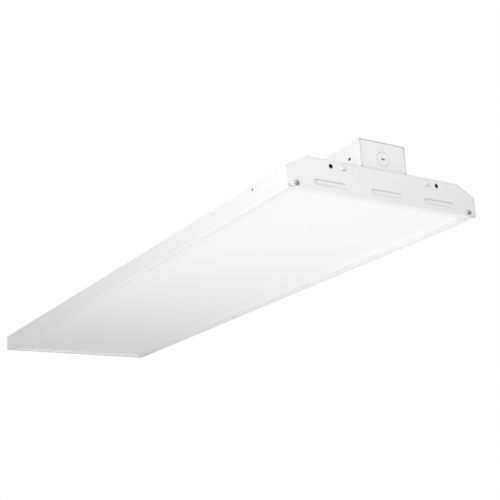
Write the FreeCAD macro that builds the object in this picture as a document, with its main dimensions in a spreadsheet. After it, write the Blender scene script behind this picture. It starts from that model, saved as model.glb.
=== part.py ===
"""Linear LED high bay light: folded-steel housing, end plates, frosted lens, driver box.

Frame: +Z up, X along the light, Y across it. The origin is the middle of the light at the
underside of its bottom lips. "near" is the +X end, which carries the driver box.
"""
import FreeCAD, Part
import math
import os
import Sketcher
from FreeCAD import Placement, Rotation, Vector

DRIVING_SIZES = {
    # housing
    "length": 1168, "width": 338, "height": 49, "wall_height": 31, "shoulder_run": 33,
    "sheet": 0.8, "bend_radius": 1.6, "fit_gap": 0.2,
    "lip_width": 13, "lip_return": 5, "corner_gap": 1.1,
    "corner_notch": 3.5, "corner_notch_top": 2.8,
    "ear_width": 24, "ear_top": 20, "ear_bottom": 2,
    "side_hole_inset": 90, "side_hole_level": 25.3, "side_hole_diameter": 4,
    "side_pilot_inset": 204, "side_pilot_diameter": 2.2,
    # lens
    "lens_thickness": 2, "lens_gap": 1.2,
    # end plates
    "hanging_spacing": 192, "hanging_drop": 9, "hanging_diameter": 6.5,
    "boss_spacing": 151, "boss_width": 8, "boss_height": 7, "boss_rise": 2, "boss_draft": 25,
    "bead_length": 56, "bead_height": 8, "bead_depth": 1.2, "bead_pitch": 97.5,
    "bead_level": 13.5, "bead_draft": 30, "bead_corner": 0.33,
    "tab_width": 16, "tab_depth": 14, "tab_inset": 12,
    "corner_screw_inset": 13.5, "corner_screw_level": 7,
    # driver box
    "box_width": 84, "box_height": 44, "box_setback": 0.8,
    "panel_gap": 0.5, "panel_inset": 1, "flange_depth": 12, "panel_screw_spacing": 50,
    "knockout_diameter": 22.2, "knockout_level": 18, "knockout_slit": 0.5, "tie_width": 2,
    "pry_length": 6.5, "pry_width": 2.2,
    "box_hole_inset": 25, "box_hole_level": 20, "box_hole_diameter": 5,
    # driver
    "wiring_length": 128, "driver_length": 280, "output_length": 62,
    "driver_side_gap": 10.2, "driver_top_gap": 11.2, "driver_edge": 3,
    "foot_length": 14, "foot_width": 30, "foot_thickness": 1.5, "foot_slot": 5,
    # light boards
    "board_width": 60, "board_thickness": 1.6, "board_spacing": 136, "board_middle_gap": 24,
    "board_end_gap": 18, "board_screw_inset": 40,
    "chips_per_line": 16, "chip_line_spacing": 32, "chip_length": 3, "chip_width": 2.8,
    "chip_height": 0.7, "chip_end_gap": 14,
    "connector_length": 10, "connector_width": 9, "connector_height": 4, "connector_inset": 3,
    # screws
    "screw_head": 8, "screw_head_height": 2.4, "screw_shank": 3.9, "screw_length": 8,
    "screw_play": 0.3, "head_rim": 0.4, "head_crown": 0.6,
    "small_head": 5.5, "small_head_height": 1.6, "small_shank": 2.8,
    # wiring
    "grommet_hole": 16, "grommet_bore": 9, "grommet_flange": 2, "grommet_groove": 1.5,
    "lead_diameter": 2.4, "lead_pitch": 4, "lead_bend": 0.45,
    "lead_exit": 14, "lead_drop": 6, "lead_turn": 40, "lead_aside": 8, "lead_landing": 24,
    "lead_straight": 12,
    "block_length": 26, "block_width": 32, "block_height": 16, "block_side": 20,
    "block_gap": 8, "block_screw_spacing": 26, "block_seat": 6, "block_recess": 6.5,
    "pole_pitch": 8, "entry_across": 5, "entry_depth": 8,
    "ground_across": 8, "ground_head_height": 4.5, "ground_side": 26,
}

# Places worked out from the driving sizes, as spreadsheet expressions.
HALF_LENGTH = "Size.length / 2"
HALF_WIDTH = "Size.width / 2"
PAN_END = "(Size.length / 2 - Size.sheet)"
SHOULDER = "(Size.width / 2 - Size.shoulder_run)"
OPENING_HALF_WIDTH = "(Size.width / 2 - Size.lip_width)"
OPENING_HALF_LENGTH = "(Size.length / 2 - Size.lip_width)"
CEILING = "(Size.height - Size.sheet)"
HANGING_LEVEL = "(Size.height - Size.hanging_drop)"
CORNER_SCREW_SIDE = "(Size.width / 2 - Size.corner_screw_inset)"
SCREW_HOLE = "(Size.screw_shank + Size.screw_play)"
SMALL_HOLE = "(Size.small_shank + Size.screw_play)"
TAB_SCREW_X = "(Size.length / 2 - Size.sheet - Size.tab_depth / 2)"
BOX_LENGTH = "(Size.wiring_length + Size.driver_length + Size.output_length)"
BOX_FRONT = "(Size.length / 2 - Size.box_setback)"
BOX_BACK = "(Size.length / 2 - Size.box_setback - %s)" % BOX_LENGTH
PANEL_HALF_WIDTH = "(Size.box_width / 2 - Size.sheet - Size.panel_gap)"
PANEL_HEIGHT = "(Size.box_height - Size.sheet)"
PANEL_SCREW_DEPTH = "(Size.panel_inset + Size.flange_depth / 2)"
DRIVER_NEAR = "(%s - Size.wiring_length)" % BOX_FRONT
DRIVER_FAR = "(%s + Size.output_length)" % BOX_BACK
DRIVER_HALF_WIDTH = "(Size.box_width / 2 - Size.sheet - Size.driver_side_gap)"
DRIVER_HEIGHT = "(Size.box_height - Size.sheet - Size.driver_top_gap)"
GROMMET_X = "(%s + (Size.panel_inset + Size.flange_depth + Size.output_length" \
    " - Size.foot_length) / 2)" % BOX_BACK
BOARD_LENGTH = "(Size.length / 2 - Size.board_middle_gap / 2 - Size.board_end_gap)"
BOARD_MIDDLE = "(Size.board_middle_gap / 2 + %s / 2)" % BOARD_LENGTH
BLOCK_X = "(%s + Size.foot_length + Size.block_gap + Size.block_length / 2)" % DRIVER_NEAR
GROUND_X = "((%s + Size.block_length / 2 + %s - Size.panel_inset - Size.flange_depth) / 2)" \
    % (BLOCK_X, BOX_FRONT)
TAB_SIDE = "(%s - Size.tab_inset)" % SHOULDER
THROUGH_SHEET = "4 * Size.sheet"
RELIEF = "(Size.bend_radius + Size.sheet)"
INNER_BEND = "(Size.bend_radius - Size.sheet)"
PLATE_LIP_SIDE = "(%s + %s - Size.fit_gap)" % (OPENING_HALF_WIDTH, RELIEF)

ENDS = (1, -1)
SIDES = (1, -1)
AXIS_X = Vector(1, 0, 0)
AXIS_Y = Vector(0, 1, 0)
AXIS_Z = Vector(0, 0, 1)
HOLE_SIDES = 8
HEAD_SIDES = 12
HEXAGON = 6
BUSH_SIDES = 16
LEAD_SIDES = 6
LEAD_STEPS = 3
SAME_PLACE = 1e-6
NEAR_EDGE = 1e-3
VOLUME_SHARE = 1e-3
LEAST_CHANGE = 0.1

doc = FreeCAD.newDocument("high_bay_light")
size_sheet = doc.addObject("Spreadsheet::Sheet", "Size")
for row, (alias, value) in enumerate(DRIVING_SIZES.items(), start=1):
    size_sheet.set("A%d" % row, alias)
    size_sheet.set("B%d" % row, str(value))
    size_sheet.setAlias("B%d" % row, alias)
doc.recompute()

nodes = []


def number(expression):
    """The present value of a spreadsheet expression."""
    return float(size_sheet.evalExpression(expression))


# ---- sketches ----------------------------------------------------------------------------

def new_body(name):
    body = doc.addObject("PartDesign::Body", name)
    body.Label = name
    nodes.append(body)
    doc.recompute()
    return body


def new_sketch(body, plane, shift="0"):
    """A sketch on one of the body's origin planes, moved along the plane's normal."""
    sketch = body.newObject("Sketcher::SketchObject", body.Name + "_sketch")
    support = next(item for item in body.Origin.OriginFeatures if item.Role == plane)
    sketch.AttachmentSupport = [(support, "")]
    sketch.MapMode = "FlatFace"
    sketch.setExpression("AttachmentOffset.Base.z", shift)
    return sketch


def pin_point(sketch, geometry, point, across, up):
    """Hold a sketch point at its place from the sketch's origin."""
    for kind, expression, axis in (("DistanceX", across, -2), ("DistanceY", up, -1)):
        value = number(expression)
        if abs(value) < SAME_PLACE:
            sketch.addConstraint(Sketcher.Constraint("PointOnObject", geometry, point, axis))
        elif value > 0:
            index = sketch.addConstraint(
                Sketcher.Constraint(kind, -1, 1, geometry, point, value))
            sketch.setExpression("Constraints[%d]" % index, expression)
        else:
            index = sketch.addConstraint(
                Sketcher.Constraint(kind, geometry, point, -1, 1, -value))
            sketch.setExpression("Constraints[%d]" % index, "-(%s)" % expression)


def outline(sketch, corners):
    """A closed outline of straight lines through corners given as (across, up)."""
    points = [Vector(number(across), number(up), 0) for across, up in corners]
    first = sketch.GeometryCount
    count = len(points)
    for index, point in enumerate(points):
        sketch.addGeometry(Part.LineSegment(point, points[(index + 1) % count]), False)
    for index, (across, up) in enumerate(corners):
        before = first + (index - 1) % count
        sketch.addConstraint(Sketcher.Constraint("Coincident", before, 2, first + index, 1))
        pin_point(sketch, first + index, 1, across, up)


def four_quarters(corner):
    """The corners of an outline that is the same in all four quarters, from one of them."""
    second = [("-" + x, y) for x, y in reversed(corner)]
    third = [("-" + x, "-" + y) for x, y in corner]
    fourth = [(x, "-" + y) for x, y in reversed(corner)]
    return corner + second + third + fourth


def rectangle(sketch, left, right, low, high):
    outline(sketch, [(left, low), (right, low), (right, high), (left, high)])


def circle(sketch, across, up, diameter):
    place = Vector(number(across), number(up), 0)
    index = sketch.addGeometry(Part.Circle(place, AXIS_Z, number(diameter) / 2), False)
    pin_point(sketch, index, 3, across, up)
    bound = sketch.addConstraint(Sketcher.Constraint("Diameter", index, number(diameter)))
    sketch.setExpression("Constraints[%d]" % bound, diameter)


def turns(sides):
    """Angles in degrees of a regular outline's corners, the first half a step round."""
    return [(step + 0.5) * 360 / sides for step in range(sides)]


def many_sided(sketch, across, up, diameter, sides=HOLE_SIDES):
    """A regular outline for a small round."""
    corners = []
    for turn in turns(sides):
        corners.append(("(%s) + (%s) / 2 * cos(%f deg)" % (across, diameter, turn),
                        "(%s) + (%s) / 2 * sin(%f deg)" % (up, diameter, turn)))
    outline(sketch, corners)


def cut_cornered(sketch, across, up, span, depth):
    """A level slot outline whose corners are cut off, centred at (across, up)."""
    shares = [(1, -1), (1, 1), (-1, 1), (-1, -1)]
    corners = []
    for right, top in shares:
        end = "(%s) + %d * (%s) / 2" % (across, right, span)
        edge = "(%s) + %d * (%s) / 2" % (up, top, depth)
        on_end = (end, "%s - %d * (%s) * Size.bead_corner" % (edge, top, depth))
        on_edge = ("%s - %d * (%s) * Size.bead_corner" % (end, right, depth), edge)
        corners += [on_end, on_edge] if right == top else [on_edge, on_end]
    outline(sketch, corners)


# ---- features ----------------------------------------------------------------------------

def new_feature(body, kind, base=None):
    feature = body.newObject("PartDesign::" + kind, "%s_%s" % (body.Name, kind.lower()))
    if base is not None:
        feature.Base = base
    return feature


def pad(body, sketch, length, backward=False, both_ways=False, draft=None):
    """Sheet or block raised along the sketch's normal, or against it."""
    feature = new_feature(body, "Pad")
    feature.Profile = sketch
    feature.setExpression("Length", length)
    feature.Reversed = backward
    if both_ways:
        feature.SideType = "Symmetric"
    if draft:
        feature.setExpression("TaperAngle", "-" + draft)
    doc.recompute()
    return feature


def cut(body, sketch, depth, backward=False, both_ways=False, draft=None):
    """Pocket that goes against the sketch's normal, along it when backward."""
    feature = new_feature(body, "Pocket")
    feature.Profile = sketch
    feature.setExpression("Length", depth)
    feature.Reversed = backward
    if both_ways:
        feature.SideType = "Symmetric"
    if draft:
        feature.setExpression("TaperAngle", "-" + draft)
    doc.recompute()
    return feature


def edge_names(shape, chosen):
    return ["Edge%d" % index for index, edge in enumerate(shape.Edges, 1) if chosen(edge)]


def face_names(shape, chosen):
    return ["Face%d" % index for index, face in enumerate(shape.Faces, 1) if chosen(face)]


def runs_along(edge, direction):
    if len(edge.Vertexes) != 2:
        return False
    line = edge.Vertexes[1].Point - edge.Vertexes[0].Point
    return abs(line.normalize().dot(direction)) > 1 - SAME_PLACE


def looks_along(face, direction):
    """True for a flat face whose outward normal is the direction."""
    return face.Surface.TypeId == "Part::GeomPlane" and \
        face.normalAt(0, 0).dot(direction) > 1 - SAME_PLACE


def on_lines(direction, *lines):
    """Picks edges along a direction that lie on one of the lines, such as {"y": "0", "z": "0"}."""
    targets = [{axis: number(place) for axis, place in line.items()} for line in lines]

    def chosen(edge):
        middle = edge.CenterOfMass
        return runs_along(edge, direction) and any(
            all(abs(getattr(middle, axis) - place) < NEAR_EDGE for axis, place in line.items())
            for line in targets)
    return chosen


def bend(body, chosen, radius="Size.bend_radius"):
    """Round the chosen edges of the body so far."""
    tip = body.Tip
    feature = new_feature(body, "Fillet", (tip, edge_names(tip.Shape, chosen)))
    feature.setExpression("Radius", radius)
    doc.recompute()
    return feature


def hollow(body, open_faces):
    """Leave one sheet's thickness inside the form, open where faces are chosen."""
    tip = body.Tip
    feature = new_feature(body, "Thickness", (tip, face_names(tip.Shape, open_faces)))
    feature.setExpression("Value", "Size.sheet")
    feature.Reversed = True
    feature.Join = "Intersection"
    doc.recompute()
    return feature


def place(item, x="0", y="0", z="0", turn=0):
    """Set a sub-part down at a place given by expressions, turned about Z."""
    item.Placement = Placement(Vector(), Rotation(AXIS_Z, turn))
    for axis, expression in zip("xyz", (x, y, z)):
        item.setExpression("Placement.Base." + axis, expression)


# ---- housing -----------------------------------------------------------------------------

SLOPE = "atan((Size.height - Size.wall_height) / Size.shoulder_run)"
OUTER_BENDS = [
    (SHOULDER, "Size.height"), (HALF_WIDTH, "Size.wall_height"), (HALF_WIDTH, "0"),
    (OPENING_HALF_WIDTH, "0"),
]
INNER_BENDS = [
    ("(%s + Size.sheet)" % OPENING_HALF_WIDTH, "Size.sheet"),
    ("(%s - Size.sheet)" % HALF_WIDTH, "Size.sheet"),
    ("(%s - Size.sheet)" % HALF_WIDTH,
     "Size.wall_height - Size.sheet * tan((90 deg - %s) / 2)" % SLOPE),
    ("(%s - Size.sheet * tan(%s / 2))" % (SHOULDER, SLOPE), CEILING),
]


def folded_section():
    """The shouldered sheet with a lip and a turned-up return at each foot, as (across, up)."""
    return_top = [(OPENING_HALF_WIDTH, "Size.lip_return"),
                  ("(%s + Size.sheet)" % OPENING_HALF_WIDTH, "Size.lip_return")]
    right = OUTER_BENDS + return_top + INNER_BENDS
    return right + [("-" + across, up) for across, up in reversed(right)]


def bend_section(body, corners, radius):
    """Round the sheet along its length at the section's corners, on both sides."""
    lines = [{"y": "%d * %s" % (side, across), "z": up} for across, up in corners
             for side in SIDES]
    bend(body, on_lines(AXIS_X, *lines), radius)


def board_screw_seats():
    """Screw places on the ceiling: three for each of the four boards."""
    reach = "(%s / 2 - Size.board_screw_inset)" % BOARD_LENGTH
    seats = []
    for end in ENDS:
        for side in SIDES:
            for step in (-1, 0, 1):
                x = "%d * %s + %d * %s" % (end, BOARD_MIDDLE, step, reach)
                seats.append((x, "%d * Size.board_spacing / 2" % side))
    return seats


def panel_screw_seats():
    """Screw places through the feet and top flanges of the box's end panels."""
    near = "%s - %s" % (BOX_FRONT, PANEL_SCREW_DEPTH)
    far = "%s + %s" % (BOX_BACK, PANEL_SCREW_DEPTH)
    return [(x, "%d * Size.panel_screw_spacing / 2" % side) for x in (near, far) for side in SIDES]


def driver_screw_seats():
    return [("%s + Size.foot_length / 2" % DRIVER_NEAR, "0"),
            ("%s - Size.foot_length / 2" % DRIVER_FAR, "0")]


def block_screw_seats():
    return [(BLOCK_X, "Size.block_side + %d * Size.block_screw_spacing / 2" % side)
            for side in SIDES]


def tab_screw_seats(end):
    return [("%d * %s" % (end, TAB_SCREW_X), "%d * %s" % (side, TAB_SIDE)) for side in SIDES]


GROUND_SEAT = (GROUND_X, "-Size.ground_side")


def cut_top_holes(body, places, diameter, sides=HOLE_SIDES):
    top = new_sketch(body, "XY_Plane", "Size.height")
    for x, y in places:
        many_sided(top, x, y, diameter, sides)
    cut(body, top, THROUGH_SHEET, both_ways=True)


def make_housing():
    body = new_body("housing")
    sheet = new_sketch(body, "YZ_Plane", "-" + PAN_END)
    outline(sheet, folded_section())
    pad(body, sheet, "2 * " + PAN_END)
    bend_section(body, OUTER_BENDS, "Size.bend_radius")
    bend_section(body, INNER_BENDS, INNER_BEND)

    corners = new_sketch(body, "XY_Plane")
    return_end = "(%s - Size.fit_gap)" % OPENING_HALF_LENGTH
    relief_side = "(%s + %s)" % (OPENING_HALF_WIDTH, RELIEF)
    for end in ENDS:
        rectangle(corners, "%d * %s" % (end, return_end), "%d * %s" % (end, HALF_LENGTH),
                  "-" + relief_side, relief_side)
    cut(body, corners, "4 * Size.lip_return", both_ways=True)

    for end in ENDS:
        start = PAN_END if end < 0 else "(%s - Size.sheet)" % PAN_END
        ears = new_sketch(body, "YZ_Plane", "%d * %s" % (end, start))
        for side in SIDES:
            rectangle(ears, "%d * (%s - Size.ear_width)" % (side, HALF_WIDTH),
                      "%d * (%s - Size.sheet / 2)" % (side, HALF_WIDTH),
                      "Size.ear_bottom", "Size.ear_top")
            many_sided(ears, "%d * %s" % (side, CORNER_SCREW_SIDE), "Size.corner_screw_level",
                       SCREW_HOLE)
        pad(body, ears, "Size.sheet")

    cut_top_holes(body, board_screw_seats() + block_screw_seats(), SMALL_HOLE)
    cut_top_holes(body, panel_screw_seats() + driver_screw_seats() + [GROUND_SEAT]
                  + tab_screw_seats(1) + tab_screw_seats(-1), SCREW_HOLE)
    cut_top_holes(body, [(GROMMET_X, "0")], "Size.grommet_hole", BUSH_SIDES)

    walls = new_sketch(body, "XZ_Plane")
    for end in ENDS:
        circle(walls, "%d * (%s - Size.side_hole_inset)" % (end, HALF_LENGTH),
               "Size.side_hole_level", "Size.side_hole_diameter")
        many_sided(walls, "%d * (%s - Size.side_pilot_inset)" % (end, HALF_LENGTH),
                   "Size.side_hole_level", "Size.side_pilot_diameter")
    cut(body, walls, "2 * Size.width", both_ways=True)


# ---- end plates --------------------------------------------------------------------------

def end_plate_outline():
    """The section above the foot's bend, with a slit over each side lip and top tab notches."""
    tab_outer = "(%s + Size.tab_width / 2)" % TAB_SIDE
    tab_inner = "(%s - Size.tab_width / 2)" % TAB_SIDE
    notch_side = "(%s - Size.corner_notch)" % HALF_WIDTH
    right = [
        (PLATE_LIP_SIDE, RELIEF), (PLATE_LIP_SIDE, "Size.corner_gap"),
        (notch_side, "Size.corner_gap"), (notch_side, "Size.corner_notch_top"),
        (HALF_WIDTH, "Size.corner_notch_top"), (HALF_WIDTH, "Size.wall_height"),
        (SHOULDER, "Size.height"), (tab_outer, "Size.height"), (tab_outer, CEILING),
        (tab_inner, CEILING), (tab_inner, "Size.height"),
    ]
    left = [("-" + across, up) for across, up in reversed(right)]
    return right + left


def add_plate_foot(body):
    """The lip under the light and its turned-up return, which stops short at the corners."""
    foot = new_sketch(body, "XZ_Plane")
    outline(foot, [
        ("0", "0"), ("0", "Size.lip_return"), ("-Size.sheet", "Size.lip_return"),
        ("-Size.sheet", "Size.sheet"), ("Size.sheet - Size.lip_width", "Size.sheet"),
        ("Size.sheet - Size.lip_width", "Size.lip_return"),
        ("-Size.lip_width", "Size.lip_return"), ("-Size.lip_width", "0")])
    pad(body, foot, "2 * " + PLATE_LIP_SIDE, both_ways=True)
    bend(body, on_lines(AXIS_Y, {"x": "0", "z": "0"}, {"x": "-Size.lip_width", "z": "0"}))
    bend(body, on_lines(AXIS_Y, {"x": "-Size.sheet", "z": "Size.sheet"},
                        {"x": "Size.sheet - Size.lip_width", "z": "Size.sheet"}), INNER_BEND)
    corners = new_sketch(body, "XY_Plane")
    for side in SIDES:
        rectangle(corners, "-2 * Size.lip_width", "%s - Size.lip_width" % RELIEF,
                  "%d * (%s - Size.fit_gap)" % (side, OPENING_HALF_WIDTH),
                  "%d * %s" % (side, HALF_WIDTH))
    cut(body, corners, "4 * Size.lip_return", both_ways=True)


def add_bosses(body):
    """Two small bosses pressed outwards beside the hanging holes, hollow behind."""
    front = new_sketch(body, "YZ_Plane", "-Size.sheet / 2")
    back = new_sketch(body, "YZ_Plane", "-Size.sheet")
    for side in SIDES:
        middle = "%d * Size.boss_spacing / 2" % side
        for sketch, less in ((front, "0"), (back, "2 * Size.sheet")):
            rectangle(sketch, "%s - (Size.boss_width - %s) / 2" % (middle, less),
                      "%s + (Size.boss_width - %s) / 2" % (middle, less),
                      "%s - (Size.boss_height - %s) / 2" % (HANGING_LEVEL, less),
                      "%s + (Size.boss_height - %s) / 2" % (HANGING_LEVEL, less))
    pad(body, front, "Size.boss_rise + Size.sheet / 2", draft="Size.boss_draft")
    cut(body, back, "Size.boss_rise", backward=True, draft="Size.boss_draft")


def add_beads(body):
    """Three shallow beads pressed inwards along the foot of the plate."""
    back = new_sketch(body, "YZ_Plane", "-Size.sheet / 2")
    front = new_sketch(body, "YZ_Plane")
    for step in (-1, 0, 1):
        middle = "%d * Size.bead_pitch" % step
        cut_cornered(back, middle, "Size.bead_level", "Size.bead_length + 2 * Size.sheet",
                     "Size.bead_height + 2 * Size.sheet")
        cut_cornered(front, middle, "Size.bead_level", "Size.bead_length", "Size.bead_height")
    pad(body, back, "Size.bead_depth + Size.sheet / 2", backward=True, draft="Size.bead_draft")
    cut(body, front, "Size.bead_depth", draft="Size.bead_draft")


def make_end_plate(name, end):
    """The outer face lies on x = 0 and everything folded goes towards -X."""
    body = new_body(name)
    add_plate_foot(body)
    face = new_sketch(body, "YZ_Plane", "-Size.sheet")
    outline(face, end_plate_outline())
    pad(body, face, "Size.sheet")

    tabs = new_sketch(body, "XY_Plane", "%s - Size.sheet" % CEILING)
    for side in SIDES:
        middle = "%d * %s" % (side, TAB_SIDE)
        rectangle(tabs, "-Size.tab_depth", "-Size.sheet / 2",
                  "%s - Size.tab_width / 2" % middle, "%s + Size.tab_width / 2" % middle)
        many_sided(tabs, "%s - %s" % (TAB_SCREW_X, HALF_LENGTH), middle, SCREW_HOLE)
    pad(body, tabs, "Size.sheet")

    add_beads(body)
    add_bosses(body)

    holes = new_sketch(body, "YZ_Plane")
    for side in SIDES:
        circle(holes, "%d * Size.hanging_spacing / 2" % side, HANGING_LEVEL,
               "Size.hanging_diameter")
        many_sided(holes, "%d * %s" % (side, CORNER_SCREW_SIDE), "Size.corner_screw_level",
                   SCREW_HOLE)
    cut(body, holes, THROUGH_SHEET, both_ways=True)
    place(body, x="%d * %s" % (end, HALF_LENGTH), turn=0 if end > 0 else 180)


# ---- lens --------------------------------------------------------------------------------

def make_lens():
    """Flat frosted sheet on the turned-up lips, its corners notched round the ears."""
    body = new_body("lens")
    end = "(%s - Size.sheet - Size.lens_gap)" % PAN_END
    notch_end = "(%s - Size.screw_length - Size.lens_gap)" % HALF_LENGTH
    side = "(%s - Size.sheet - Size.lens_gap)" % HALF_WIDTH
    notch_side = "(%s - Size.ear_width - Size.lens_gap)" % HALF_WIDTH
    sketch = new_sketch(body, "XY_Plane", "Size.lip_return")
    outline(sketch, four_quarters([(end, notch_side), (notch_end, notch_side),
                                   (notch_end, side)]))
    pad(body, sketch, "Size.lens_thickness")


# ---- driver box --------------------------------------------------------------------------

def make_box_cover():
    body = new_body("box_cover")
    sketch = new_sketch(body, "YZ_Plane", BOX_BACK)
    rectangle(sketch, "-Size.box_width / 2", "Size.box_width / 2",
              "Size.height", "Size.height + Size.box_height")
    pad(body, sketch, BOX_LENGTH)
    bend(body, lambda edge: runs_along(edge, AXIS_X)
         and edge.CenterOfMass.z > number("Size.height + Size.box_height / 2"))
    hollow(body, lambda face: looks_along(face, AXIS_X) or looks_along(face, -AXIS_X)
           or looks_along(face, -AXIS_Z))
    top = new_sketch(body, "XY_Plane", "Size.height + Size.box_height")
    for x, y in panel_screw_seats():
        many_sided(top, x, y, SCREW_HOLE)
    cut(body, top, THROUGH_SHEET, both_ways=True)
    walls = new_sketch(body, "XZ_Plane")
    circle(walls, "%s - Size.box_hole_inset" % BOX_FRONT, "Size.height + Size.box_hole_level",
           "Size.box_hole_diameter")
    cut(body, walls, "2 * Size.box_width", both_ways=True)


def channel_section(low, high):
    """A sheet on x = 0 with a flange folded back at each side, as (x, across)."""
    return [
        ("0", low), ("0", high), ("-Size.flange_depth", high),
        ("-Size.flange_depth", "%s - Size.sheet" % high), ("-Size.sheet", "%s - Size.sheet" % high),
        ("-Size.sheet", "%s + Size.sheet" % low), ("-Size.flange_depth", "%s + Size.sheet" % low),
        ("-Size.flange_depth", low),
    ]


def bend_channel(body, direction, across, low, high):
    bend(body, on_lines(direction, {"x": "0", across: low}, {"x": "0", across: high}))
    bend(body, on_lines(direction, {"x": "-Size.sheet", across: "%s + Size.sheet" % low},
                        {"x": "-Size.sheet", across: "%s - Size.sheet" % high}), INNER_BEND)


def make_box_end(name, end):
    """Shallow folded tray with its face on x = 0, foot on z = 0 and a round knockout."""
    body = new_body(name)
    level = new_sketch(body, "XZ_Plane")
    outline(level, channel_section("0", PANEL_HEIGHT))
    pad(body, level, "2 * (%s - %s)" % (PANEL_HALF_WIDTH, RELIEF), both_ways=True)
    bend_channel(body, AXIS_Y, "z", "0", PANEL_HEIGHT)
    upright = new_sketch(body, "XY_Plane", RELIEF)
    outline(upright, channel_section("-" + PANEL_HALF_WIDTH, PANEL_HALF_WIDTH))
    pad(body, upright, "%s - 2 * %s" % (PANEL_HEIGHT, RELIEF))
    bend_channel(body, AXIS_Z, "y", "-" + PANEL_HALF_WIDTH, PANEL_HALF_WIDTH)

    slit = new_sketch(body, "YZ_Plane")
    for growth in (1, -1):
        circle(slit, "0", "Size.knockout_level",
               "Size.knockout_diameter + %d * Size.knockout_slit" % growth)
    cut(body, slit, THROUGH_SHEET, both_ways=True)
    ties = new_sketch(body, "YZ_Plane")
    for side in SIDES:
        rectangle(ties, "%d * (Size.knockout_diameter / 2 - Size.knockout_slit)" % side,
                  "%d * (Size.knockout_diameter / 2 + Size.knockout_slit)" % side,
                  "Size.knockout_level - Size.tie_width / 2",
                  "Size.knockout_level + Size.tie_width / 2")
    pad(body, ties, "Size.sheet", backward=True)
    pry = new_sketch(body, "YZ_Plane")
    rectangle(pry, "-Size.pry_length / 2", "Size.pry_length / 2",
              "Size.knockout_level - Size.pry_width / 2",
              "Size.knockout_level + Size.pry_width / 2")
    cut(body, pry, THROUGH_SHEET, both_ways=True)

    flanges = new_sketch(body, "XY_Plane")
    for side in SIDES:
        many_sided(flanges, "-Size.flange_depth / 2", "%d * Size.panel_screw_spacing / 2" % side,
                   SCREW_HOLE)
    cut(body, flanges, "4 * Size.box_height", both_ways=True)
    if end > 0:
        place(body, x="%s - Size.panel_inset" % BOX_FRONT, z="Size.height")
    else:
        place(body, x="%s + Size.panel_inset" % BOX_BACK, z="Size.height", turn=180)


def make_driver():
    body = new_body("led_driver")
    case = new_sketch(body, "YZ_Plane", DRIVER_FAR)
    rectangle(case, "-" + DRIVER_HALF_WIDTH, DRIVER_HALF_WIDTH,
              "Size.height", "Size.height + " + DRIVER_HEIGHT)
    pad(body, case, "Size.driver_length")
    bend(body, lambda edge: runs_along(edge, AXIS_X)
         and edge.CenterOfMass.z > number("Size.height + %s / 2" % DRIVER_HEIGHT),
         "Size.driver_edge")
    feet = new_sketch(body, "XY_Plane", "Size.height")
    rectangle(feet, "%s - Size.foot_length" % DRIVER_FAR, "%s + Size.foot_length" % DRIVER_NEAR,
              "-Size.foot_width / 2", "Size.foot_width / 2")
    pad(body, feet, "Size.foot_thickness")
    slots = new_sketch(body, "XY_Plane", "Size.height")
    for x, y in driver_screw_seats():
        many_sided(slots, x, y, "Size.foot_slot")
    cut(body, slots, "4 * Size.foot_thickness", both_ways=True)


# ---- light boards ------------------------------------------------------------------------

BOARDS = [(index, end, side) for index, (end, side) in
          enumerate([(end, side) for end in ENDS for side in SIDES], start=1)]


def make_board(index, end, side):
    body = new_body("led_board_%d" % index)
    sketch = new_sketch(body, "XY_Plane", "%s - Size.board_thickness" % CEILING)
    near = "%d * Size.board_middle_gap / 2" % end
    far = "%d * (Size.board_middle_gap / 2 + %s)" % (end, BOARD_LENGTH)
    left, right = (near, far) if end > 0 else (far, near)
    middle = "%d * Size.board_spacing / 2" % side
    rectangle(sketch, left, right,
              "%s - Size.board_width / 2" % middle, "%s + Size.board_width / 2" % middle)
    for x, y in board_screw_seats():
        if number(x) * end > 0 and number(y) * side > 0:
            many_sided(sketch, x, y, SMALL_HOLE)
    pad(body, sketch, "Size.board_thickness")


def new_group(name, solids):
    """Several equal solids kept as one sub-part."""
    group = doc.addObject("Part::Feature", name)
    group.Label = name
    group.Shape = Part.makeCompound(solids)
    nodes.append(group)


def make_chips(index, end, side):
    """Light-emitting chips in two lines on the underside of a board."""
    length = number("Size.chip_length")
    width = number("Size.chip_width")
    height = number("Size.chip_height")
    count = int(number("Size.chips_per_line"))
    reach = number(BOARD_LENGTH) / 2 - number("Size.chip_end_gap")
    middle = end * number(BOARD_MIDDLE)
    underside = number(CEILING) - number("Size.board_thickness")
    chips = []
    for line in SIDES:
        y = (side * number("Size.board_spacing") + line * number("Size.chip_line_spacing")) / 2
        for step in range(count):
            x = middle - reach + 2 * reach * step / (count - 1)
            corner = Vector(x - length / 2, y - width / 2, underside - height)
            chips.append(Part.makeBox(length, width, height, corner))
    new_group("led_chips_%d" % index, chips)


def connector_place(end, side):
    """Middle of a board's connector, near the middle of the light."""
    x = end * (number("Size.board_middle_gap + Size.connector_length") / 2
               + number("Size.connector_inset"))
    y = side * (number("Size.board_spacing") - number("Size.board_width")
                + number("Size.connector_width") + 2 * number("Size.connector_inset")) / 2
    z = number(CEILING) - number("Size.board_thickness") - number("Size.connector_height") / 2
    return Vector(x, y, z)


def make_connectors():
    length = number("Size.connector_length")
    width = number("Size.connector_width")
    height = number("Size.connector_height")
    half = Vector(length, width, height) / 2
    new_group("board_connectors", [
        Part.makeBox(length, width, height, connector_place(end, side) - half)
        for end in ENDS for side in SIDES])


# ---- screws ------------------------------------------------------------------------------

def ring(diameter, level, sides):
    """Corners of a regular outline about the Z axis."""
    return [Vector(diameter / 2 * math.cos(turn), diameter / 2 * math.sin(turn), level)
            for turn in map(math.radians, turns(sides))]


def closed(corners):
    return Part.makePolygon(corners + corners[:1])


def prism(diameter, low, high, sides, top_diameter=None):
    """An upright many-sided block, narrowed towards its top when a top size is given."""
    if top_diameter is None:
        return Part.Face(closed(ring(diameter, low, sides))).extrude(Vector(0, 0, high - low))
    return Part.makeLoft([closed(ring(diameter, low, sides)),
                          closed(ring(top_diameter, high, sides))], True, True)


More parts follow.
